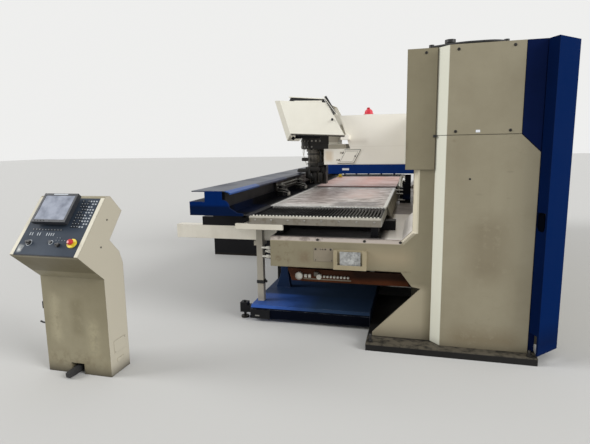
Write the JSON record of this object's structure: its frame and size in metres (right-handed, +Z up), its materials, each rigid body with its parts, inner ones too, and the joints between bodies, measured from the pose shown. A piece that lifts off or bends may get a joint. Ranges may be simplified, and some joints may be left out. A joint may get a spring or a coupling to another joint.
{
  "type": "cnc turret punch press",
  "caption": "Floor-standing sheet-metal punching machine: C-shaped frame, head under a lifted hood, table with slatted combs, cross rail with clamps, and a separate console.",
  "frame": {"origin": "on the floor under the punch axis, at the underside of the centre levelling foot", "axes": "+X into the throat towards the column, +Y along the machine away from the console, +Z up"},
  "size_m": [3.836, 6.635, 2.284],
  "materials": {
    "greige_paint": "satin, scuffed",
    "cream_paint": "satin, lightly soiled",
    "dark_blue_paint": "satin",
    "blue_paint": "satin",
    "blue_grey_paint": "satin",
    "grey_paint": "satin, worn",
    "black_paint": "satin",
    "brown_paint": "matte, worn",
    "dark_iron": "dark, oily",
    "bare_steel": "worn, streaked",
    "bright_steel": "ground",
    "black_rubber": "matte",
    "black_plastic": "matte",
    "dark_plastic": "matte",
    "white_plastic": "matte",
    "red_plastic": "gloss",
    "yellow_plastic": "gloss"
  },
  "bodies": {
    "frame": {"floor_slabs": "dark_iron", "end_towers": "greige_paint", "side_plates": "cream_paint", "middle_column": "greige_paint", "front_cover_upper": "greige_paint", "front_cover_lower": "greige_paint", "corner_panel": "dark_blue_paint", "roof_vent": "black_plastic", "roof_hose": "black_rubber", "upper_arm": "cream_paint", "arm_band": "blue_paint", "beacon": "red_plastic", "head_collar": "dark_iron", "head_barrel": "bare_steel", "head_guide": "dark_iron", "hood_guides": "black_paint", "die_bolster": "dark_iron", "end_beds": "cream_paint", "bed_core": "dark_blue_paint", "bed_nose": "black_paint", "base_pan": "blue_paint", "pan_feet": "black_paint", "manifold_beam": "brown_paint", "manifold_fittings": "white_plastic", "near_table": "bare_steel", "far_table": "bare_steel", "near_comb": "dark_iron", "far_comb": "dark_iron", "table_supports": "black_paint", "table_skirts": "grey_paint", "table_legs": "cream_paint", "guide_beams": "cream_paint", "chain_trough": "black_paint", "document_pocket": "cream_paint", "throat_unit": "black_paint", "console_housing": "greige_paint", "console_panel": "grey_paint", "console_monitor": "dark_plastic", "estop_collar": "yellow_plastic"},
    "cross_rail": {"rail_beam": "dark_blue_paint", "rail_cover": "blue_grey_paint", "rail_ends": "blue_paint", "rail_base": "dark_blue_paint", "rail_rams": "grey_paint"},
    "clamp_carriage": {"carriage_bar": "dark_iron", "clamp_bodies": "bright_steel"},
    "jaw_1": {"clamp_jaw_1": "bright_steel"},
    "jaw_2": {"clamp_jaw_2": "bright_steel"},
    "jaw_3": {"clamp_jaw_3": "bright_steel"},
    "ram": {"punch_ram": "bright_steel"},
    "tool": {"tool_holder": "bare_steel"},
    "die": {"die_holder": "bare_steel"},
    "hood": {"head_hood": "cream_paint", "hood_vent": "black_plastic"},
    "hatch": {"arm_hatch": "cream_paint"},
    "door": {"corner_door": "dark_blue_paint"},
    "estop": {"estop_button": "red_plastic"},
    "left_knob": {"knob_left": "black_plastic"},
    "right_knob": {"knob_right": "black_plastic"},
    "push": {"push_button": "dark_plastic"}
  },
  "joints": [
    {"name": "rail_travel", "type": "slide", "parent": "frame", "child": "cross_rail", "axis": [1, 0, 0], "range_m": [-1.25, 0]},
    {"name": "carriage_travel", "type": "slide", "parent": "cross_rail", "child": "clamp_carriage", "axis": [0, 1, 0], "range_m": [-1.35, 1.85]},
    {"name": "jaw_1_grip", "type": "hinge", "parent": "clamp_carriage", "child": "jaw_1", "pos_m": [-0.122, -1.11, 1.051], "axis": [0, -1, 0], "range_deg": [0, 22]},
    {"name": "jaw_2_grip", "type": "hinge", "parent": "clamp_carriage", "child": "jaw_2", "pos_m": [-0.122, -0.25, 1.051], "axis": [0, -1, 0], "range_deg": [0, 22]},
    {"name": "jaw_3_grip", "type": "hinge", "parent": "clamp_carriage", "child": "jaw_3", "pos_m": [-0.122, 0.61, 1.051], "axis": [0, -1, 0], "range_deg": [0, 22]},
    {"name": "punch_stroke", "type": "slide", "parent": "frame", "child": "ram", "axis": [0, 0, 1], "range_m": [-0.044, 0]},
    {"name": "tool_turn", "type": "hinge", "parent": "ram", "child": "tool", "pos_m": [0, 0, 1.1], "axis": [0, 0, 1], "continuous": true},
    {"name": "die_turn", "type": "hinge", "parent": "frame", "child": "die", "pos_m": [0, 0, 0.95], "axis": [0, 0, 1], "continuous": true},
    {"name": "hood_lift", "type": "slide", "parent": "frame", "child": "hood", "axis": [-0.486, 0, 0.874], "range_m": [-0.225, 0]},
    {"name": "hatch_swing", "type": "hinge", "parent": "frame", "child": "hatch", "pos_m": [0.339, -0.2563, 1.318], "axis": [-0.4681, 0, -0.8837], "range_deg": [0, 100]},
    {"name": "door_swing", "type": "hinge", "parent": "frame", "child": "door", "pos_m": [2.326, -2.604, 1.1], "axis": [0, 0, 1], "range_deg": [0, 100]},
    {"name": "estop_press", "type": "slide", "parent": "frame", "child": "estop", "axis": [0, -0.7388, 0.674], "range_m": [-0.004, 0], "stiffness_N_per_m": 5000, "springref_m": 0.002},
    {"name": "push_button_press", "type": "slide", "parent": "frame", "child": "push", "axis": [0, -0.7388, 0.674], "range_m": [-0.003, 0], "stiffness_N_per_m": 2000, "springref_m": 0.002},
    {"name": "left_knob_turn", "type": "hinge", "parent": "frame", "child": "left_knob", "pos_m": [-1.076, -3.80367, 0.96023], "axis": [0, -0.7388, 0.674], "range_deg": [-135, 135]},
    {"name": "right_knob_turn", "type": "hinge", "parent": "frame", "child": "right_knob", "pos_m": [-0.848, -3.81108, 0.9521], "axis": [0, -0.7388, 0.674], "range_deg": [-45, 45]}
  ],
  "couplings": [
    {"joint": "die_turn", "follows": "tool_turn", "ratio": 1}
  ]
}
